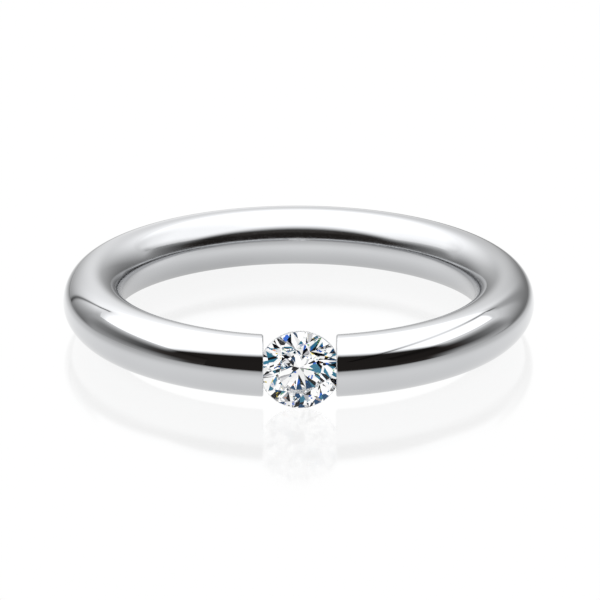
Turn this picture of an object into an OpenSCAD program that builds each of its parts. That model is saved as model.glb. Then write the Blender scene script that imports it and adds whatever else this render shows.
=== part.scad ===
// Finger ring of round polished wire whose two flat ends grip a round brilliant stone.
// The ring lies flat. Z runs along the finger hole and the stone faces -Y.
// Origin: the centre of the finger hole, at the wire's mid-height. Millimetres.

/* [Band] */
// Inside diameter of the finger hole
hole_d = 17.5; // [15:0.1:22]
// Diameter of the round wire
wire_d = 3; // [2.6:0.1:4]
// Leg of the small chamfer round each end of the band
end_chamfer = 0.09; // [0.04:0.01:0.16]

/* [Seat] */
// How deep the stone's girdle sits in the groove of each end
seat_depth = 0.2; // [0.12:0.01:0.26]
// Room between the stone and the groove, measured out from the stone's axis
seat_clearance = 0.02; // [0.01:0.005:0.04]
// How far the girdle lies outside the wire's centre line
seat_offset = 0.43; // [0.2:0.01:0.5]

/* [Stone] */
// Diameter of the stone at its girdle
stone_d = 3.9; // [3.4:0.1:4.6]
// Height of the girdle, as a share of the stone's diameter
girdle_share = 0.035; // [0.02:0.005:0.05]
// Table width from corner to corner, as a share of the stone's diameter
table_share = 0.54; // [0.53:0.01:0.62]
// Slope of the eight bezel facets, in degrees
crown_angle = 34.5; // [32:0.5:36]
// Slope of the eight pavilion mains, in degrees
pavilion_angle = 40.5; // [40:0.25:42]
// How far the star facets reach from the table's edge to the girdle
star_share = 0.5; // [0.4:0.05:0.6]
// How far the lower halves reach from the girdle to the culet
lower_half_share = 0.79; // [0.7:0.01:0.82]
// Turn of the stone about its own axis, in degrees
stone_turn = 12.5; // [0:0.5:45]

/* [Hidden] */
$fn = 192;

wire_r = wire_d / 2;
hoop_r = hole_d / 2 + wire_r;
gap_w = stone_d - 2 * seat_depth;
// The wire's centre at each end face lies a little nearer the ring's centre than hoop_r
end_y = sqrt(hoop_r ^ 2 - (gap_w / 2) ^ 2);
girdle_y = hoop_r + seat_offset;
// Past everything that is cut
reach = 4 * wire_d;

// Half a symmetry step of the cut, and the azimuth of a half facet from its main
step = 45;
half_step = step / 2;
quarter_step = step / 4;

stone_r = stone_d / 2;
girdle_z = stone_r * girdle_share;
// Half facets pass through the girdle's edge at their main's azimuth, so a little nearer the axis at their own
half_facet_r = stone_r * cos(quarter_step);

// Crown: the table, and the star tips where two bezels, a star and two halves meet
table_r = stone_r * table_share;
table_z = girdle_z + (stone_r - table_r) * tan(crown_angle);
table_edge_r = table_r * cos(half_step);
star_tip_r = table_edge_r + star_share * (stone_r - table_edge_r);
star_tip_z = girdle_z + (stone_r - star_tip_r * cos(half_step)) * tan(crown_angle);
star_angle = atan((table_z - star_tip_z) / (star_tip_r - table_edge_r));
// Rise over run of the ridge between two upper halves, and their slope
upper_ridge = (star_tip_z - girdle_z) / (stone_r - star_tip_r);
upper_half_angle = atan(upper_ridge / cos(quarter_step));

// Pavilion: the points where two mains and two lower halves meet
lower_tip_r = stone_r * (1 - lower_half_share);
lower_tip_z = girdle_z + (stone_r - lower_tip_r * cos(half_step)) * tan(pavilion_angle);
lower_ridge = (lower_tip_z - girdle_z) / (stone_r - lower_tip_r);
lower_half_angle = atan(lower_ridge / cos(quarter_step));

// Points the stone's own axis, +Z, along the ring's -Y and puts its girdle in the grooves
module at_seat() {
    translate([0, -girdle_y, 0]) rotate([90, 0, 0]) children();
}

// Eight-sided pyramid, point up: one face looks along the azimuth, and all slope alike through radius r, height z
module eight_facets(azimuth, slope, r, z) {
    rise = z + r * tan(slope) + reach;
    translate([0, 0, -reach])
        rotate([0, 0, azimuth + half_step])
            cylinder(h = rise, r1 = rise / (tan(slope) * cos(half_step)), r2 = 0, $fn = 8);
}

// Table, 8 bezels, 8 stars and 16 upper halves, above a round girdle
module crown() {
    intersection() {
        translate([0, 0, -reach])
            cylinder(h = reach + table_z, r = stone_r);
        eight_facets(0, crown_angle, stone_r, girdle_z);
        eight_facets(half_step, star_angle, star_tip_r, star_tip_z);
        eight_facets(quarter_step, upper_half_angle, half_facet_r, girdle_z);
        eight_facets(-quarter_step, upper_half_angle, half_facet_r, girdle_z);
    }
}

// 8 mains and 16 lower halves, built point up
module pavilion() {
    intersection() {
        eight_facets(0, pavilion_angle, stone_r, girdle_z);
        eight_facets(quarter_step, lower_half_angle, half_facet_r, girdle_z);
        eight_facets(-quarter_step, lower_half_angle, half_facet_r, girdle_z);
    }
}

// Round brilliant about Z, its table up and the middle of its girdle at the origin
module brilliant() {
    intersection() {
        crown();
        mirror([0, 0, 1]) pavilion();
    }
}

// What the grooves are cut with: the stone's ridges swept round its axis, and opened by the clearance
module seat_cutter() {
    room_r = stone_r + seat_clearance;
    rotate_extrude()
        polygon([
            [0, -girdle_z - room_r * lower_ridge],
            [room_r, -girdle_z],
            [room_r, girdle_z],
            [0, girdle_z + room_r * upper_ridge]
        ]);
}

// Takes the sharp edge off the end face at x = gap_w / 2
module end_edge_cutter() {
    translate([gap_w / 2 - end_chamfer, -end_y, 0])
        rotate([0, 90, 0])
            difference() {
                cylinder(h = 3 * end_chamfer, r = wire_d);
                cylinder(h = 3 * end_chamfer, r1 = wire_r - 2 * end_chamfer, r2 = wire_r + end_chamfer);
            }
}

module band() {
    color("silver")
        difference() {
            rotate_extrude()
                translate([hoop_r, 0])
                    circle(wire_r);
            translate([-gap_w / 2, -girdle_y - reach / 2, -reach / 2])
                cube([gap_w, reach, reach]);
            end_edge_cutter();
            mirror([1, 0, 0]) end_edge_cutter();
            at_seat() seat_cutter();
        }
}

module stone() {
    color("lightcyan")
        at_seat()
            rotate([0, 0, stone_turn])
                brilliant();
}

band();
stone();
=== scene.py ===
from math import atan, cos, pi, radians, sin, tan

import bmesh
import bpy
from mathutils import Matrix, Quaternion, Vector


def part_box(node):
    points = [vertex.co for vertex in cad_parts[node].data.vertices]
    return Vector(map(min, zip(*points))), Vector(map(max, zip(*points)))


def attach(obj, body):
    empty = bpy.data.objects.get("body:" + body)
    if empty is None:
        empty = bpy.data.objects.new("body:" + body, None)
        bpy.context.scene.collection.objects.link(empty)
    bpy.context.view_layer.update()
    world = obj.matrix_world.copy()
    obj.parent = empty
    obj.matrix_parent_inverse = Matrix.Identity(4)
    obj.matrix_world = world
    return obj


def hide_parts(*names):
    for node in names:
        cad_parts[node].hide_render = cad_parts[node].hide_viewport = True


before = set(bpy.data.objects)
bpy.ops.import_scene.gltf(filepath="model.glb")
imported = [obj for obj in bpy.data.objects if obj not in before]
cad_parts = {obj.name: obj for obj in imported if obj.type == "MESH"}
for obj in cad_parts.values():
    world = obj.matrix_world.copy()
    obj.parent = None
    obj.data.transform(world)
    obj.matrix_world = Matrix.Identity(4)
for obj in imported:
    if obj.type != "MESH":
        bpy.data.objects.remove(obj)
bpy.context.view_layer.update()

MM = 0.001
# Points nearer than this are one point
TOUCHING = 0.0005 * MM

# The band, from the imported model's box and the sizes that a box doesn't show
band_low, band_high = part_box("band")
WIRE_R = (band_high.z - band_low.z) / 2
HOOP_R = band_high.y - WIRE_R
END_ROUNDING = 0.1 * MM
SEAT_DEPTH = 0.2 * MM
SEAT_CLEARANCE = 0.02 * MM

# The stone: its axis lies along -Y, at mid-height of the wire
stone_low, stone_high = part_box("stone")
STONE_R = (stone_high.z - stone_low.z) / 2
GIRDLE_Z = STONE_R * 0.035
TABLE_SHARE = 0.54
CROWN_SLOPE = radians(34.5)
PAVILION_SLOPE = radians(40.5)
STAR_SHARE = 0.5
LOWER_HALF_SHARE = 0.79
STONE_TURN = radians(12.5)
GIRDLE_SIDES = 96
GAP_W = 2 * (STONE_R - SEAT_DEPTH)
# The culet is the stone's highest point in Y, so the girdle's middle lies this far out
GIRDLE_Y = GIRDLE_Z + STONE_R * tan(PAVILION_SLOPE) - stone_high.y

DIAMOND_INDEX = 2.417
# How much of its own mirror light the stone's outer surface shows
OUTER_GLOSS = 0.2
GIRDLE_ROUGHNESS = 0.3

# Steps of the cut: mains are 45 degrees apart, stars lie midway, halves midway again
STEP = radians(45)
HALF_STEP = STEP / 2
QUARTER_STEP = STEP / 4

# Mesh density of the band: rows on an end face, its rounding and half the hoop, and points round the wire
FACE_ROWS = 4
ROUNDING_ROWS = 6
HOOP_ROWS = 270
POINTS_ROUND = 120

# Camera: a long lens from the photo's height, a little to the left of the stone's axis
CAMERA_ELEVATION = radians(18.72)
CAMERA_AZIMUTH = radians(-0.35)
CAMERA_ROLL = radians(0.15)
CAMERA_DISTANCE = 264.3 * MM
CAMERA_LENS_MM = 317.8
# Where the ring's centre lies from the picture's centre, right and up, at the ring's distance
RING_OFF_CENTRE = (-0.065 * MM, 0.09 * MM)

# The lit box round the ring
CEILING_Z = 72.5 * MM
BACK_Y = 79 * MM
FRONT_Y = -130 * MM
SIDE_X = 125 * MM
LOWEST_Z = -3 * MM
FRONT_GLOW = 0.021
# The floor as the camera sees it, and the smaller disc that lights the ring from below
FLOOR_R = 2.5
FLOOR_LIGHT_R = 0.3
FLOOR_GLOW = 0.84
FLOOR_MIRROR = 0.155
FLOOR_ROUGHNESS = 0.1
# What the floor mirrors of the room's cards, and how high above the floor a ray counts as sent by it, in mm
ROOM_IN_FLOOR = 1.05
FLOOR_SKIN_MM = 0.03

# The white tent round the stone, and the colours of its cards and glints
TENT_R = 0.6
TENT_COLOURS = {
    "black": (0.004, 0.004, 0.006),
    "navy": (0.006, 0.055, 0.14),
    "teal": (0.04, 0.19, 0.29),
    "blue": (0.015, 0.125, 0.6),
    "green": (0.2, 0.45, 0.16),
    "yellow": (0.75, 0.6, 0.05),
    "orange": (0.7, 0.29, 0.15),
    "grey": (0.42, 0.42, 0.44),
    "silver": (0.62, 0.63, 0.65),
    "pale": (0.8, 0.8, 0.82),
}
TENT_CLOTH = (1.05, 1.05, 1.05)
# The glints strewn over cloth and cards: how finely, the share of cells that glint, and their reach in a cell
GLINT_CELLS = 420.0
GLINT_SHARE = 0.24
GLINT_REACH = 0.42
GLINT_COLOURS = ("blue", "navy", "teal", "yellow", "green", "orange", "teal", "blue")
# The cards in the tent, which only the stone shows. They hang on an even spiral that opens round the stone's
# axis, and their sizes and colours come in turn. Spread and sizes are angles seen from the stone
CARD_COUNT = 80
CARD_SPREAD = radians(65)
FIRST_CARD_TURN = 4.0
GOLDEN_TURN = pi * (3 - 5 ** 0.5)
CARD_SIZES = (radians(6), radians(4), radians(5))
CARD_COLOURS = ("black", "teal", "grey", "navy", "black", "silver", "black", "pale")
CARD_STEP = 2.5 * MM
# From this place on the spiral, dark cards have a coloured edge of this width
FIRST_EDGED_CARD = 27
CARD_EDGE = radians(0.4)


class Term:
    """A number inside a node tree, so that a rule can be written as ordinary arithmetic."""

    def __init__(self, tree, socket):
        self.tree = tree
        self.socket = socket

    def math(self, operation, *others, swapped=False):
        node = self.tree.nodes.new("ShaderNodeMath")
        node.operation = operation
        values = [self, *others]
        if swapped:
            values.reverse()
        for socket, value in zip(node.inputs, values):
            feed(self.tree, socket, value)
        return Term(self.tree, node.outputs[0])

    def __add__(self, other):
        return self.math("ADD", other)

    def __radd__(self, other):
        return self.math("ADD", other)

    def __sub__(self, other):
        return self.math("SUBTRACT", other)

    def __rsub__(self, other):
        return self.math("SUBTRACT", other, swapped=True)

    def __mul__(self, other):
        return self.math("MULTIPLY", other)

    def __rmul__(self, other):
        return self.math("MULTIPLY", other)

    def __truediv__(self, other):
        return self.math("DIVIDE", other)

    def __pow__(self, other):
        return self.math("POWER", other)

    def sin(self):
        return self.math("SINE")

    def cos(self):
        return self.math("COSINE")

    def clamped(self):
        return self.math("MAXIMUM", 0.0).math("MINIMUM", 1.0)


def feed(tree, socket, value):
    """Links a socket or a Term, or sets a plain value."""
    if isinstance(value, Term):
        value = value.socket
    if isinstance(value, bpy.types.NodeSocket):
        tree.links.new(value, socket)
    else:
        socket.default_value = value


def add_node(tree, kind, inputs=None, **settings):
    """A new node with its settings made and its inputs fed, by name or by place."""
    node = tree.nodes.new(kind)
    for name, value in settings.items():
        setattr(node, name, value)
    for key, value in (inputs or {}).items():
        feed(tree, node.inputs[key], value)
    return node


def new_geometry_tree(name, number_inputs, whole_inputs=(), material_input="Material"):
    """An empty Geometry Nodes tree with named inputs. Returns it, its inputs, and its output socket."""
    tree = bpy.data.node_groups.new(name, "GeometryNodeTree")
    tree.interface.new_socket("Geometry", in_out="INPUT", socket_type="NodeSocketGeometry")
    for label in number_inputs:
        tree.interface.new_socket(label, in_out="INPUT", socket_type="NodeSocketFloat")
    for label in whole_inputs:
        tree.interface.new_socket(label, in_out="INPUT", socket_type="NodeSocketInt")
    tree.interface.new_socket(material_input, in_out="INPUT", socket_type="NodeSocketMaterial")
    tree.interface.new_socket("Geometry", in_out="OUTPUT", socket_type="NodeSocketGeometry")
    group_in = tree.nodes.new("NodeGroupInput")
    group_out = tree.nodes.new("NodeGroupOutput")
    inputs = {label: Term(tree, group_in.outputs[label]) for label in (*number_inputs, *whole_inputs)}
    inputs[material_input] = group_in.outputs[material_input]
    return tree, inputs, group_out.inputs["Geometry"]


def mesh_from_tree(name, tree, values):
    """Runs a tree on an empty carrier, its inputs set by identifier. Returns the result as a plain object."""
    carrier = bpy.data.objects.new(name + "_carrier", bpy.data.meshes.new(name + "_carrier"))
    bpy.context.scene.collection.objects.link(carrier)
    modifier = carrier.modifiers.new("shape", "NODES")
    modifier.node_group = tree
    for item in tree.interface.items_tree:
        if item.in_out == "INPUT" and item.name in values:
            modifier[item.identifier] = values[item.name]
    depsgraph = bpy.context.evaluated_depsgraph_get()
    mesh = bpy.data.meshes.new_from_object(carrier.evaluated_get(depsgraph), depsgraph=depsgraph)
    mesh.name = name
    carrier.modifiers.remove(modifier)
    bpy.data.objects.remove(carrier)
    piece = bpy.data.objects.new(name, mesh)
    bpy.context.scene.collection.objects.link(piece)
    return piece


def unit_grid(tree, rows, columns):
    """A flat grid whose field is its row and column number. Returns the mesh, and both numbers as Terms."""
    grid = add_node(tree, "GeometryNodeMeshGrid",
                    {"Size X": 1.0, "Size Y": 1.0, "Vertices X": rows, "Vertices Y": columns})
    place = add_node(tree, "GeometryNodeInputPosition")
    parts = add_node(tree, "ShaderNodeSeparateXYZ", {"Vector": place.outputs[0]})
    row = (Term(tree, parts.outputs["X"]) + 0.5) * (rows - 1)
    column = (Term(tree, parts.outputs["Y"]) + 0.5) * (columns - 1)
    return grid.outputs["Mesh"], row, column


def placed(tree, geometry, x, y, z):
    """Moves every point of the geometry to the place that the three Terms give, and closes what meets."""
    place = add_node(tree, "ShaderNodeCombineXYZ", {"X": x, "Y": y, "Z": z})
    moved = add_node(tree, "GeometryNodeSetPosition", {"Geometry": geometry, "Position": place.outputs[0]})
    merged = add_node(tree, "GeometryNodeMergeByDistance",
                      {"Geometry": moved.outputs[0], "Distance": TOUCHING})
    return merged.outputs[0]


def hoop_surface(tree, sizes):
    """The open hoop, from the middle of one end face over its rounding and round the back to the other."""
    half_rows = FACE_ROWS + ROUNDING_ROWS + HOOP_ROWS
    mesh, row, column = unit_grid(tree, sizes["Rows Along"], sizes["Points Round"])
    # Both halves are alike, so count the rows from the nearer end
    from_end = row.math("MINIMUM", (sizes["Rows Along"] - 1.0) - row)
    side = (float(half_rows) - row).math("SIGN")
    round_wire = column / (sizes["Points Round"] - 1.0) * (2 * pi)
    # The end face's rows crowd towards its rim
    face = (from_end / float(FACE_ROWS)).clamped()
    face_r = (sizes["Wire Radius"] - sizes["End Rounding"]) * (1.0 - (1.0 - face) ** 3.0)
    rounding = ((from_end - float(FACE_ROWS)) / float(ROUNDING_ROWS)).clamped() * (pi / 2)
    section_r = face_r + sizes["End Rounding"] * rounding.sin()
    end_x = sizes["Gap Width"] * 0.5 + sizes["End Rounding"] * (1.0 - rounding.cos())
    from_axis = sizes["Hoop Radius"] + section_r * round_wire.cos()
    start = (end_x / from_axis).math("ARCSINE")
    along = ((from_end - float(FACE_ROWS + ROUNDING_ROWS)) / float(HOOP_ROWS)).clamped()
    turn = start + (pi - start) * along
    x = from_axis * turn.sin() * side
    y = from_axis * turn.cos() * -1.0
    z = section_r * round_wire.sin()
    return placed(tree, mesh, x, y, z)


def seat_cutter(tree, sizes):
    """The body of revolution that cuts both grooves: two cones on a short cylinder, on the stone's axis."""
    profile_points = Term(tree, add_node(tree, "FunctionNodeInputInt", integer=4).outputs[0])
    mesh, row, column = unit_grid(tree, profile_points, sizes["Groove Sides"])
    # Rows 0 and 3 are the tips, rows 1 and 2 the girdle's edges
    at_edge = (row - 1.5).math("ABSOLUTE").math("LESS_THAN", 1.0)
    outwards = (row - 1.5).math("SIGN")
    ridge = sizes["Lower Ridge"] + (sizes["Upper Ridge"] - sizes["Lower Ridge"]) * (outwards * 0.5 + 0.5)
    groove_r = sizes["Groove Radius"] * at_edge
    height = outwards * (sizes["Girdle Half Height"] + sizes["Groove Radius"] * ridge * (1.0 - at_edge))
    turn = column / (sizes["Groove Sides"] - 1.0) * (2 * pi)
    x = groove_r * turn.cos()
    y = (sizes["Girdle Distance"] + height) * -1.0
    z = groove_r * turn.sin()
    return placed(tree, mesh, x, y, z)


def hoop_tree():
    """The band: the hoop's surface less the grooves, smooth but for its sharp corners, in its metal."""
    number_inputs = ("Hoop Radius", "Wire Radius", "Gap Width", "End Rounding", "Groove Radius",
                     "Girdle Half Height", "Girdle Distance", "Upper Ridge", "Lower Ridge", "Sharp Angle")
    tree, sizes, result = new_geometry_tree(
        "polished_wire_hoop", number_inputs, ("Rows Along", "Points Round", "Groove Sides"), "Metal")
    cut = add_node(tree, "GeometryNodeMeshBoolean", operation="DIFFERENCE", solver="EXACT")
    feed(tree, cut.inputs["Mesh 1"], hoop_surface(tree, sizes))
    feed(tree, cut.inputs["Mesh 2"], seat_cutter(tree, sizes))
    edge_angle = Term(tree, add_node(tree, "GeometryNodeInputMeshEdgeAngle").outputs["Unsigned Angle"])
    soft_edge = edge_angle.math("LESS_THAN", sizes["Sharp Angle"])
    smooth_faces = add_node(tree, "GeometryNodeSetShadeSmooth",
                            {"Geometry": cut.outputs["Mesh"], "Shade Smooth": True})
    smooth_edges = add_node(tree, "GeometryNodeSetShadeSmooth",
                            {"Geometry": smooth_faces.outputs[0], "Shade Smooth": soft_edge}, domain="EDGE")
    real = add_node(tree, "GeometryNodeRealizeInstances", {"Geometry": smooth_edges.outputs[0]})
    dressed = add_node(tree, "GeometryNodeSetMaterial",
                       {"Geometry": real.outputs[0], "Material": sizes["Metal"]})
    feed(tree, result, dressed.outputs[0])
    return tree


def crown_and_pavilion_rules():
    """Where the cut's rings of facets meet, and their slopes, worked out from the stone's proportions."""
    table_r = STONE_R * TABLE_SHARE
    table_z = GIRDLE_Z + (STONE_R - table_r) * tan(CROWN_SLOPE)
    table_edge_r = table_r * cos(HALF_STEP)
    star_tip_r = table_edge_r + STAR_SHARE * (STONE_R - table_edge_r)
    star_tip_z = GIRDLE_Z + (STONE_R - star_tip_r * cos(HALF_STEP)) * tan(CROWN_SLOPE)
    lower_tip_r = STONE_R * (1 - LOWER_HALF_SHARE)
    lower_tip_z = GIRDLE_Z + (STONE_R - lower_tip_r * cos(HALF_STEP)) * tan(PAVILION_SLOPE)
    return {
        "table_z": table_z,
        "star_tip": (star_tip_r, star_tip_z),
        "star_slope": atan((table_z - star_tip_z) / (star_tip_r - table_edge_r)),
        "upper_ridge": (star_tip_z - GIRDLE_Z) / (STONE_R - star_tip_r),
        "lower_ridge": (lower_tip_z - GIRDLE_Z) / (STONE_R - lower_tip_r),
    }


def facet_ring(first, slope, r, z, sign):
    """Eight facet planes as (point, outward normal), through radius r and height z, above or below."""
    planes = []
    for k in range(8):
        azimuth = first + k * STEP
        outward = Vector((cos(azimuth), sin(azimuth), 0))
        point = outward * r + Vector((0, 0, sign * z))
        normal = outward * sin(slope) + Vector((0, 0, sign * cos(slope)))
        planes.append((point, normal))
    return planes


def brilliant_planes(rules):
    """The 57 facet planes of a round brilliant whose table faces +Z."""
    half_r = STONE_R * cos(QUARTER_STEP)
    upper_half_slope = atan(rules["upper_ridge"] / cos(QUARTER_STEP))
    lower_half_slope = atan(rules["lower_ridge"] / cos(QUARTER_STEP))
    planes = [(Vector((0, 0, rules["table_z"])), Vector((0, 0, 1)))]
    planes += facet_ring(0, CROWN_SLOPE, STONE_R, GIRDLE_Z, 1)
    planes += facet_ring(HALF_STEP, rules["star_slope"], *rules["star_tip"], 1)
    planes += facet_ring(0, PAVILION_SLOPE, STONE_R, GIRDLE_Z, -1)
    for first in (QUARTER_STEP, -QUARTER_STEP):
        planes += facet_ring(first, upper_half_slope, half_r, GIRDLE_Z, 1)
        planes += facet_ring(first, lower_half_slope, half_r, GIRDLE_Z, -1)
    return planes


def make_stone(rules, material):
    """The round brilliant: a cylinder cut by every facet plane in turn, then turned into its seat."""
    solid = bmesh.new()
    bmesh.ops.create_cone(solid, cap_ends=True, segments=GIRDLE_SIDES,
                          radius1=STONE_R, radius2=STONE_R, depth=4 * STONE_R)
    for point, normal in brilliant_planes(rules):
        everything = solid.verts[:] + solid.edges[:] + solid.faces[:]
        cut = bmesh.ops.bisect_plane(solid, geom=everything, plane_co=point, plane_no=normal,
                                     dist=1e-9, clear_outer=True)
        rim = [part for part in cut["geom_cut"] if isinstance(part, bmesh.types.BMEdge)]
        bmesh.ops.contextual_create(solid, geom=rim)
    bmesh.ops.remove_doubles(solid, verts=solid.verts[:], dist=TOUCHING)
    bmesh.ops.recalc_face_normals(solid, faces=solid.faces[:])
    turned = Matrix.Rotation(pi / 2, 4, "X") @ Matrix.Rotation(STONE_TURN, 4, "Z")
    solid.transform(Matrix.Translation((0, -GIRDLE_Y, 0)) @ turned)
    mesh = bpy.data.meshes.new("brilliant")
    solid.to_mesh(mesh)
    solid.free()
    mesh.materials.append(material)
    piece = bpy.data.objects.new("brilliant", mesh)
    bpy.context.scene.collection.objects.link(piece)
    return piece


def make_band(rules, material):
    """The wire hoop with its grooves, from the Geometry Nodes tree."""
    half_rows = FACE_ROWS + ROUNDING_ROWS + HOOP_ROWS
    return mesh_from_tree("wire_hoop", hoop_tree(), {
        "Hoop Radius": HOOP_R,
        "Wire Radius": WIRE_R,
        "Gap Width": GAP_W,
        "End Rounding": END_ROUNDING,
        "Groove Radius": STONE_R + SEAT_CLEARANCE,
        "Girdle Half Height": GIRDLE_Z,
        "Girdle Distance": GIRDLE_Y,
        "Upper Ridge": rules["upper_ridge"],
        "Lower Ridge": rules["lower_ridge"],
        "Sharp Angle": radians(30),
        "Rows Along": 2 * half_rows + 1,
        "Points Round": POINTS_ROUND + 1,
        "Groove Sides": 193,
        "Metal": material,
    })


def new_material(name):
    """A material with an empty node tree and its output node."""
    material = bpy.data.materials.new(name)
    material.use_nodes = True
    tree = material.node_tree
    tree.nodes.clear()
    return material, tree, tree.nodes.new("ShaderNodeOutputMaterial")


def millimetres(tree):
    """The shaded point's own X, Y and Z in millimetres."""
    place = add_node(tree, "ShaderNodeTexCoord").outputs["Object"]
    scaled = add_node(tree, "ShaderNodeVectorMath", {0: place, "Scale": 1 / MM}, operation="SCALE")
    parts = add_node(tree, "ShaderNodeSeparateXYZ", {"Vector": scaled.outputs[0]})
    return [Term(tree, parts.outputs[axis]) for axis in "XYZ"]


def stretched(tree, value, low, high, new_low, new_high):
    """The value's range from low to high, moved to a new range."""
    node = add_node(tree, "ShaderNodeMapRange",
                    {"Value": value, "From Min": low, "From Max": high,
                     "To Min": new_low, "To Max": new_high})
    return Term(tree, node.outputs["Result"])


def eased(value, low, high):
    """0 up to low, 1 from high on, with a soft run between."""
    node = add_node(value.tree, "ShaderNodeMapRange",
                    {"Value": value, "From Min": low, "From Max": high}, interpolation_type="SMOOTHSTEP")
    return Term(value.tree, node.outputs["Result"])


def run_up(value, low, high, dark, light):
    """Dark up to low, light from high on, with a soft run between."""
    return eased(value, low, high) * (light - dark) + dark


def blend(first, second, share):
    """The first at 0, the second at 1."""
    return (second - first) * share + first


def bell(value, middle, width):
    """1 at the middle, falling away softly on both sides."""
    return (((value - middle) / width) ** 2.0 * -1.0).math("EXPONENT")


def polished_steel():
    """White metal mirror-polished by hand: faint drift and waves, and a little duller inside the hole."""
    material, tree, output = new_material("polished_white_metal")
    place = add_node(tree, "ShaderNodeTexCoord").outputs["Object"]
    drift = add_node(tree, "ShaderNodeTexNoise", {"Vector": place, "Scale": 180.0, "Detail": 2.0})
    tone = add_node(tree, "ShaderNodeValToRGB", {"Fac": drift.outputs["Fac"]})
    tone.color_ramp.elements[0].position = 0.3
    tone.color_ramp.elements[0].color = (0.583, 0.59, 0.604, 1)
    tone.color_ramp.elements[1].position = 0.7
    tone.color_ramp.elements[1].color = (0.61, 0.618, 0.632, 1)
    haze = add_node(tree, "ShaderNodeTexNoise", {"Vector": place, "Scale": 900.0, "Detail": 3.0})
    fine = stretched(tree, haze.outputs["Fac"], 0.3, 0.7, 0.02, 0.05)
    x, y, z = millimetres(tree)
    from_axis = (x * x + y * y) ** 0.5
    roughness = fine + 0.1 - eased(from_axis, HOOP_R / MM - 1.5, HOOP_R / MM - 0.95) * 0.1
    bump = add_node(tree, "ShaderNodeBump",
                    {"Height": haze.outputs["Fac"], "Strength": 0.02, "Distance": 0.01 * MM})
    shader = add_node(tree, "ShaderNodeBsdfPrincipled", {
        "Base Color": tone.outputs["Color"],
        "Metallic": 1.0,
        "Roughness": roughness,
        "Normal": bump.outputs["Normal"],
    })
    feed(tree, output.inputs["Surface"], shader.outputs[0])
    return material


def clear_brilliant():
    """Colourless diamond with a frosted girdle and the faintest polishing waves.

    Inside, a facet mirrors all light past the critical angle and lets the rest out.
    """
    material, tree, output = new_material("colourless_diamond")
    x, y, z = millimetres(tree)
    from_axis = (x * x + z * z) ** 0.5
    from_girdle = (y + GIRDLE_Y / MM).math("ABSOLUTE")
    on_girdle = (from_axis.math("GREATER_THAN", STONE_R / MM * 0.985)
                 * from_girdle.math("LESS_THAN", GIRDLE_Z / MM))
    roughness = on_girdle * GIRDLE_ROUGHNESS
    place = add_node(tree, "ShaderNodeTexCoord").outputs["Object"]
    waves = add_node(tree, "ShaderNodeTexNoise", {"Vector": place, "Scale": 2500.0, "Detail": 1.0})
    bump = add_node(tree, "ShaderNodeBump",
                    {"Height": waves.outputs["Fac"], "Strength": 0.01, "Distance": 0.01 * MM})
    normal = bump.outputs["Normal"]
    mirrored = Term(tree, add_node(tree, "ShaderNodeFresnel", {"IOR": DIAMOND_INDEX}).outputs[0])
    inside = Term(tree, add_node(tree, "ShaderNodeNewGeometry").outputs["Backfacing"])
    share = blend(mirrored * OUTER_GLOSS, mirrored.math("GREATER_THAN", 0.5), inside)
    bent = add_node(tree, "ShaderNodeBsdfRefraction",
                    {"Color": (1, 1, 1, 1), "Roughness": roughness, "IOR": DIAMOND_INDEX, "Normal": normal})
    mirror = add_node(tree, "ShaderNodeBsdfGlossy",
                      {"Color": (1, 1, 1, 1), "Roughness": roughness, "Normal": normal})
    surface = add_node(tree, "ShaderNodeMixShader", {0: share, 1: bent.outputs[0], 2: mirror.outputs[0]})
    feed(tree, output.inputs["Surface"], surface.outputs[0])
    return material


def ray_start(x, y, z):
    """Where the ray that sees this point set out, in millimetres."""
    tree = x.tree
    back = add_node(tree, "ShaderNodeNewGeometry").outputs["Incoming"]
    length = Term(tree, add_node(tree, "ShaderNodeLightPath").outputs["Ray Length"]) * (1 / MM)
    parts = add_node(tree, "ShaderNodeSeparateXYZ", {"Vector": back})
    return [at + Term(tree, parts.outputs[axis]) * length for at, axis in zip((x, y, z), "XYZ")]


def shining(name, brightness_rule):
    """An emitter whose brightness follows a rule of the place in millimetres and of what mirrors it.

    The rule's last term is 1 for the hoop's outer half and 0 for its inner half.
    """
    material, tree, output = new_material(name)
    x, y, z = millimetres(tree)
    start_x, start_y, start_z = ray_start(x, y, z)
    start_r = (start_x * start_x + start_y * start_y) ** 0.5
    outside = eased(start_r, HOOP_R / MM - 0.5, HOOP_R / MM + 0.5)
    strength = brightness_rule(x, y, z, outside)
    # The floor mirrors a plain white room
    foot, slope = floor_rest()
    height = (start_z - foot.z / MM) * cos(slope) - (start_y - foot.y / MM) * sin(slope)
    from_floor = height.math("LESS_THAN", FLOOR_SKIN_MM)
    strength = blend(strength, ROOM_IN_FLOOR, from_floor)
    # The darkest parts of the room are a warm brown-black
    tint = add_node(tree, "ShaderNodeMix",
                    {0: eased(strength, 0.025, 0.1), 6: (1.0, 0.873, 0.8, 1), 7: (1, 1, 1, 1)},
                    data_type="RGBA")
    shader = add_node(tree, "ShaderNodeEmission", {"Color": tint.outputs[2], "Strength": strength})
    feed(tree, output.inputs["Surface"], shader.outputs[0])
    return material


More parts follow.
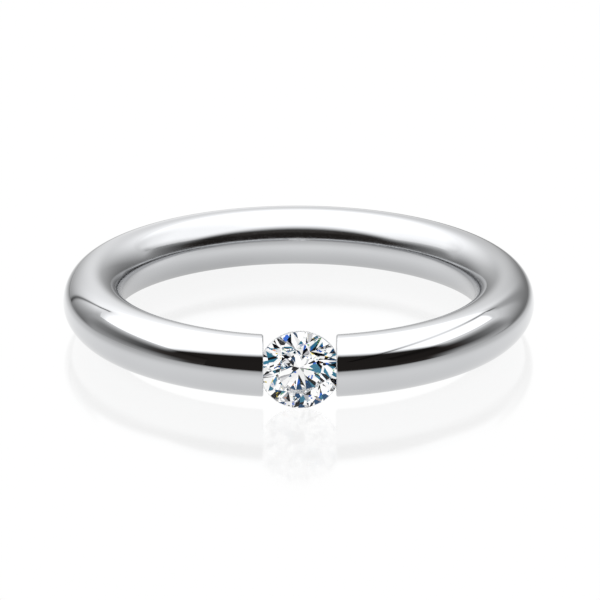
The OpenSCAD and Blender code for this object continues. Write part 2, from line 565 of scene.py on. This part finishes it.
def overhead_rule(x, y, z, outside):
    """White as far as a front edge, slanting on the right, with one seam that darkens towards both ends."""
    past_edge = y + 57.0 - (x - 45.0).math("MAXIMUM", 0.0) * 0.33
    crisp = run_up(past_edge, -15.0, 14.0, 0.02, 1.75)
    soft = run_up(past_edge, -30.0, 28.0, 0.05, 1.75)
    # The white card stops short of the box's right corner
    outer_fade = (eased(y, 58.0, 76.0) * eased(x * -1.0, 42.0, 75.0) * 0.33
                  + eased(y, 62.0, 69.0) * eased(x, 60.0, 64.0) * 0.42)
    corner_fade = eased(x, 106.0, 110.0) * 0.42 + bell(x, 72.0, 4.5) * eased(y, 70.0, 79.0) * 0.4
    left_fade = eased(x * -1.0, 45.0, 70.0) * 0.08 + eased(x * -1.0, 70.0, 125.0) * 0.22
    right_fade = eased(x, 18.0, 45.0) * (eased(y, 30.0, 60.0) * 0.1 + 0.1) + eased(x, 75.0, 125.0) * 0.33
    back_fade = eased(y, 55.0, 79.0) * eased(x.math("ABSOLUTE"), 20.0, 60.0) * 0.15
    seam_depth = ((y - 8.0) ** 2.0 * 0.00018 + 0.36).math("MINIMUM", 0.8)
    seam = bell(x, 58.5, 3.6) * seam_depth
    # On the left the back wall's seam runs on for a little
    seam_foot = bell(x, -65.5, 4.0) * eased(y, 73.0, 76.0) * 0.75
    seen_outside = crisp * (1.0 - outer_fade.math("MAXIMUM", corner_fade)) * (1.0 - seam) * (1.0 - seam_foot)
    seen_inside = soft * (1.0 - (left_fade + right_fade + back_fade))
    return blend(seen_inside, seen_outside, outside)


def back_rule(x, y, z, outside):
    """Brighter towards its middle and its top. The hoop's outer half also mirrors a seam on either side."""
    outer_low = bell(x, -1.0, 20.0) * 1.1 + bell(x, -40.0, 35.0) * 0.28 + 0.24
    outer_high = (run_up(x, -30.0, 10.0, 1.5, 1.27) - eased(x, 38.0, 60.0) * 0.7 + eased(x, 66.0, 85.0) * 0.3
                  - eased(x * -1.0, 50.0, 125.0) * 0.9)
    outer = blend(outer_low, outer_high, ((z - 5.0) / 55.0).clamped())
    inner_low = bell(x, -22.0, 40.0) * 0.4 + 0.32
    inner_high = bell(x, -15.0, 65.0) * 0.8 + 0.75
    inner = blend(inner_low, inner_high, ((z - 24.0) / 36.0).clamped())
    inner = inner * (1.0 - (1.0 - z / 24.0).clamped() * (eased(x * -1.0, 20.0, 45.0) * 0.25 + 0.58))
    under_card = eased(z, 62.0, 73.0) * (1.0 - eased(x * -1.0, 75.0, 95.0) * 0.8 * outside) * 0.8
    low_seam = bell(x, -67.5, 4.0) * 0.75
    panel = blend(inner, outer * (1.0 - low_seam), outside)
    panel = blend(panel, overhead_rule(x, y, z, outside), under_card)
    high_seam = bell(x - eased(z, 62.0, 71.0) * 2.5, -68.5, 2.6) * eased(z, 58.0, 66.0) * 0.6
    right_corner = bell(x, 61.0, 3.5) * eased(z, 58.0, 70.0) * 0.8
    return panel * (1.0 - (high_seam + right_corner).clamped() * outside)


def side_rule(foot_light, midway_light, top_start, outer_top_share, top_share, foot_share):
    """A wall that is dark in front and midway up, lit along its top by the overhead card and along its foot.

    Both lights run up from front to back. The first share says how much of the top's light the hoop's outer
    half mirrors, the others how much of the top's and the foot's light its inner half mirrors.
    """
    def rule(x, y, z, outside):
        rise = ((z - top_start) / (72.0 - top_start)).clamped() ** 1.5
        near_foot = (1.0 - z / 24.0).clamped()
        top = overhead_rule(x, y, z, outside) * (outside * (outer_top_share - top_share) + top_share)
        foot = run_up(y, *foot_light) * (outside * (1.0 - foot_share) + foot_share)
        side = blend(blend(run_up(y, *midway_light), top, rise), foot, near_foot)
        return blend(side, back_rule(x, y, z, outside), eased(y, 45.0, 79.0))
    return rule


def front_rule(x, y, z, outside):
    """The open front, nearly black all over."""
    return FRONT_GLOW


def floor_light_rule(x, y, z, outside):
    """What the floor throws up: brightest just outside the hoop, and fading towards the front."""
    away = (x * x + y * y) ** 0.5
    round_hoop = bell(away, 0.0, 38.0) * 0.35 + bell(away, 14.5, 4.0) * 0.2 + 0.48
    round_hoop = round_hoop * (eased(y, -12.0, 14.0) * 0.15 + 1.0)
    # The inner half mirrors the floor within the hole, which is brightest towards the back
    hole_back = bell(away, 0.0, 10.0) * 0.4 + bell(away, 7.0, 2.5) * 0.33 + 0.44
    hole_back = hole_back * run_up(x * -1.0, 0.0, 5.0, 1.0, 0.88)
    hole_front = bell(away, 0.0, 8.0) * 0.2 + 0.55
    beside = bell(y, 0.0, 3.0) * eased(x.math("ABSOLUTE"), 5.0, 9.0) * 0.15
    in_hole = blend(hole_front, hole_back, eased(y, -1.0, 5.0)) * (1.0 - beside)
    near = blend(in_hole, round_hoop, outside)
    far = run_up(y, -75.0, -10.0, 0.14, 0.61) - eased(y, 20.0, 70.0) * 0.29
    far = far + bell(x, -10.0, 15.0) * eased(y, 20.0, 50.0) * 0.6
    far = far + eased(x * -1.0, 0.0, 15.0) * eased(y * -1.0, 35.0, 60.0) * 0.1
    behind = eased(y, 5.0, 25.0) * (eased(x, -10.0, 10.0) * 0.17 + 0.25)
    return blend(near, far, eased(away, 25.0, 50.0)) * (1.0 - behind * outside)


def card(name, corners, material):
    """A flat card of the lit box. It lights the ring and shows in its mirror, but not to the camera."""
    mesh = bpy.data.meshes.new(name)
    mesh.from_pydata([Vector(c) for c in corners], [], [tuple(range(len(corners)))])
    mesh.materials.append(material)
    piece = bpy.data.objects.new(name, mesh)
    bpy.context.scene.collection.objects.link(piece)
    piece.visible_camera = False
    piece.visible_transmission = False
    return piece


def wall(name, left, right, material):
    """An upright card between two places (x, y), from below the floor to the overhead card."""
    low = [(*left, LOWEST_Z), (*right, LOWEST_Z)]
    high = [(*right, CEILING_Z), (*left, CEILING_Z)]
    return card(name, low + high, material)


def light_box():
    """White card overhead, grey walls that darken towards the open front, and the seams between the cards."""
    front_left, front_right = (-SIDE_X, FRONT_Y), (SIDE_X, FRONT_Y)
    back_left, back_right = (-SIDE_X, BACK_Y), (SIDE_X, BACK_Y)
    corners = [(*place, CEILING_Z) for place in (front_left, front_right, back_right, back_left)]
    card("overhead", corners, shining("overhead_light", overhead_rule))
    wall("back_wall", back_left, back_right, shining("back_light", back_rule))
    wall("open_front", front_left, front_right, shining("front_dark", front_rule))
    left_rule = side_rule((-110.0, -30.0, 0.05, 0.45), (-75.0, 75.0, 0.03, 0.33), 40.0, 0.55, 0.7, 0.6)
    right_rule = side_rule((-75.0, -15.0, 0.03, 0.56), (-45.0, 100.0, 0.02, 0.44), 45.0, 0.8, 0.45, 0.35)
    wall("left_wall", front_left, back_left, shining("left_wall_light", left_rule))
    wall("right_wall", front_right, back_right, shining("right_wall_light", right_rule))


def spiral_direction(place, sideways=0.0):
    """A direction from the stone: a place on the spiral round its axis, and an angle to the right of it."""
    off_axis = CARD_SPREAD * ((place + 0.5) / CARD_COUNT) ** 0.5
    turn = FIRST_CARD_TURN + place * GOLDEN_TURN
    straight = Vector((sin(off_axis) * cos(turn), -cos(off_axis), sin(off_axis) * sin(turn)))
    return Matrix.Rotation(sideways, 3, "Z") @ straight


def hang_card(tent, middle, radius, distance, slot):
    """Adds a round card, as a fan so shallow that its middle and its rim are as far from the stone."""
    aside = middle.orthogonal().normalized()
    across = middle.cross(aside)
    hub = tent.verts.new(middle * distance)
    sides = 32
    rim = []
    for k in range(sides):
        round_card = 2 * pi * k / sides
        outward = aside * cos(round_card) + across * sin(round_card)
        direction = middle * cos(radius) + outward * sin(radius)
        rim.append(tent.verts.new(direction * distance))
    for k in range(sides):
        tent.faces.new((hub, rim[k], rim[(k + 1) % sides])).material_index = slot


def tent_cloth(name, colour):
    """A colour that drifts a little in brightness, strewn with small glints of the fire colours."""
    material, tree, output = new_material(name)
    x, y, z = millimetres(tree)
    from_stone = add_node(tree, "ShaderNodeCombineXYZ", {"X": x, "Y": y + GIRDLE_Y / MM, "Z": z})
    direction = add_node(tree, "ShaderNodeVectorMath", {0: from_stone.outputs[0]}, operation="NORMALIZE")
    cells = add_node(tree, "ShaderNodeTexVoronoi", {"Vector": direction.outputs[0], "Scale": GLINT_CELLS})
    chance = add_node(tree, "ShaderNodeSeparateColor", {"Color": cells.outputs["Color"]})
    glint = (Term(tree, cells.outputs["Distance"]).math("LESS_THAN", GLINT_REACH)
             * Term(tree, chance.outputs["Red"]).math("LESS_THAN", GLINT_SHARE))
    fire = add_node(tree, "ShaderNodeValToRGB", {"Fac": chance.outputs["Green"]})
    fire.color_ramp.interpolation = "CONSTANT"
    elements = fire.color_ramp.elements
    # A new ramp has two elements: one is used as it is and the other goes
    elements.remove(elements[1])
    elements[0].color = (*TENT_COLOURS[GLINT_COLOURS[0]], 1)
    for k, shade in enumerate(GLINT_COLOURS[1:], 1):
        elements.new(k / len(GLINT_COLOURS)).color = (*TENT_COLOURS[shade], 1)
    mixed = add_node(tree, "ShaderNodeMix",
                     {0: glint, 6: (*colour, 1), 7: fire.outputs["Color"]}, data_type="RGBA")
    folds = add_node(tree, "ShaderNodeTexNoise",
                     {"Vector": direction.outputs[0], "Scale": 30.0, "Detail": 2.0})
    drift = stretched(tree, folds.outputs["Fac"], 0.35, 0.65, 0.8, 1.12)
    shader = add_node(tree, "ShaderNodeEmission", {"Color": mixed.outputs[2], "Strength": drift})
    feed(tree, output.inputs["Surface"], shader.outputs[0])
    return material


def stone_tent():
    """What the stone's facets throw back: a white tent round it, and the cards hung in it.

    The dark cards that hang aside have a warm and a blue edge, which the cut turns into sparks of colour.
    Each card hangs a little nearer to the stone than the one before.
    """
    tent = bmesh.new()
    bmesh.ops.create_icosphere(tent, subdivisions=5, radius=TENT_R)
    names = list(TENT_COLOURS)
    distance = TENT_R
    dark_cards = 0
    for place in range(CARD_COUNT):
        size = CARD_SIZES[place % len(CARD_SIZES)]
        colour = CARD_COLOURS[place % len(CARD_COLOURS)]
        if place >= FIRST_EDGED_CARD and colour in ("black", "navy", "teal"):
            warm = ("orange", "yellow")[dark_cards % 2]
            dark_cards += 1
            for name, way in ((warm, 1), ("blue", -1)):
                distance -= CARD_STEP
                beside = spiral_direction(place, way * CARD_EDGE)
                hang_card(tent, beside, size, distance, names.index(name) + 1)
        distance -= CARD_STEP
        hang_card(tent, spiral_direction(place), size, distance, names.index(colour) + 1)
    tent.transform(Matrix.Translation((0, -GIRDLE_Y, 0)))
    mesh = bpy.data.meshes.new("stone_tent")
    tent.to_mesh(mesh)
    tent.free()
    for name, colour in (("cloth", TENT_CLOTH), *TENT_COLOURS.items()):
        mesh.materials.append(tent_cloth("tent_" + name, colour))
    piece = bpy.data.objects.new("stone_tent", mesh)
    bpy.context.scene.collection.objects.link(piece)
    piece.visible_camera = False
    piece.visible_glossy = False


def floor_rest():
    """The plane the ring rests on: under the stone's lowest point in front and the wire at the back."""
    stone_foot = Vector((0, -GIRDLE_Y, -STONE_R))
    slope = atan((STONE_R - WIRE_R) / (HOOP_R + GIRDLE_Y))
    # The wire is round, so it is touched a little off its lowest point; two passes settle it
    for _ in range(2):
        wire_foot = Vector((0, HOOP_R + WIRE_R * sin(slope), -WIRE_R * cos(slope)))
        slope = atan((wire_foot.z - stone_foot.z) / (wire_foot.y - stone_foot.y))
    return stone_foot, slope


def floor_disc(name, radius, material):
    """A round sheet in the plane that the ring rests on."""
    foot, slope = floor_rest()
    shape = bmesh.new()
    bmesh.ops.create_circle(shape, cap_ends=True, segments=64, radius=radius)
    shape.transform(Matrix.Translation(foot) @ Matrix.Rotation(slope, 4, "X"))
    mesh = bpy.data.meshes.new(name)
    shape.to_mesh(mesh)
    shape.free()
    mesh.materials.append(material)
    sheet = bpy.data.objects.new(name, mesh)
    bpy.context.scene.collection.objects.link(sheet)
    sheet.visible_transmission = False
    return sheet


def make_floor():
    """A pale glossy floor that mirrors the ring faintly, and the light that it throws up."""
    material, tree, output = new_material("pale_floor")
    glow = add_node(tree, "ShaderNodeEmission", {"Color": (1, 1, 1, 1), "Strength": FLOOR_GLOW})
    sheen = add_node(tree, "ShaderNodeBsdfGlossy",
                     {"Color": (FLOOR_MIRROR, FLOOR_MIRROR, FLOOR_MIRROR, 1), "Roughness": FLOOR_ROUGHNESS})
    total = add_node(tree, "ShaderNodeAddShader", {0: glow.outputs[0], 1: sheen.outputs[0]})
    feed(tree, output.inputs["Surface"], total.outputs[0])
    floor_disc("floor", FLOOR_R, material).visible_glossy = False
    floor_light = shining("floor_light", floor_light_rule)
    floor_disc("floor_light", FLOOR_LIGHT_R, floor_light).visible_camera = False


def make_world():
    """White behind everything for the camera, and nearly black in every reflection, like a dark room."""
    world = bpy.data.worlds.new("room")
    bpy.context.scene.world = world
    world.use_nodes = True
    tree = world.node_tree
    tree.nodes.clear()
    output = tree.nodes.new("ShaderNodeOutputWorld")
    seen = Term(tree, add_node(tree, "ShaderNodeLightPath").outputs["Is Camera Ray"])
    shader = add_node(tree, "ShaderNodeBackground", {"Color": (1, 1, 1, 1), "Strength": seen * 0.98 + 0.02})
    feed(tree, output.inputs["Surface"], shader.outputs[0])


def make_camera():
    """The photo's viewpoint, aimed so that the ring sits where the photo has it."""
    data = bpy.data.cameras.new("camera")
    camera = bpy.data.objects.new("camera", data)
    bpy.context.scene.collection.objects.link(camera)
    bpy.context.scene.camera = camera
    data.lens = CAMERA_LENS_MM
    data.sensor_width = 36.0
    data.clip_start = 10 * MM
    data.clip_end = 6.0
    back = Vector((sin(CAMERA_AZIMUTH) * cos(CAMERA_ELEVATION),
                   -cos(CAMERA_AZIMUTH) * cos(CAMERA_ELEVATION),
                   sin(CAMERA_ELEVATION)))
    aim = (-back).to_track_quat("-Z", "Y") @ Quaternion((0, 0, 1), CAMERA_ROLL)
    right, up = RING_OFF_CENTRE
    camera.rotation_mode = "QUATERNION"
    camera.rotation_quaternion = aim
    camera.location = back * CAMERA_DISTANCE - aim @ Vector((right, up, 0))


def render_manner():
    """Plain colours with no film curve, and enough bounces for light that is trapped in the stone."""
    scene = bpy.context.scene
    scene.view_settings.view_transform = "Standard"
    scene.cycles.max_bounces = 24
    scene.cycles.glossy_bounces = 16
    scene.cycles.transmission_bounces = 24
    scene.cycles.sample_clamp_indirect = 6.0


rules = crown_and_pavilion_rules()

hoop = make_band(rules, polished_steel())
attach(hoop, "root")
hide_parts("band")

brilliant = make_stone(rules, clear_brilliant())
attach(brilliant, "root")
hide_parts("stone")

make_floor()
light_box()
stone_tent()
make_world()
make_camera()
render_manner()
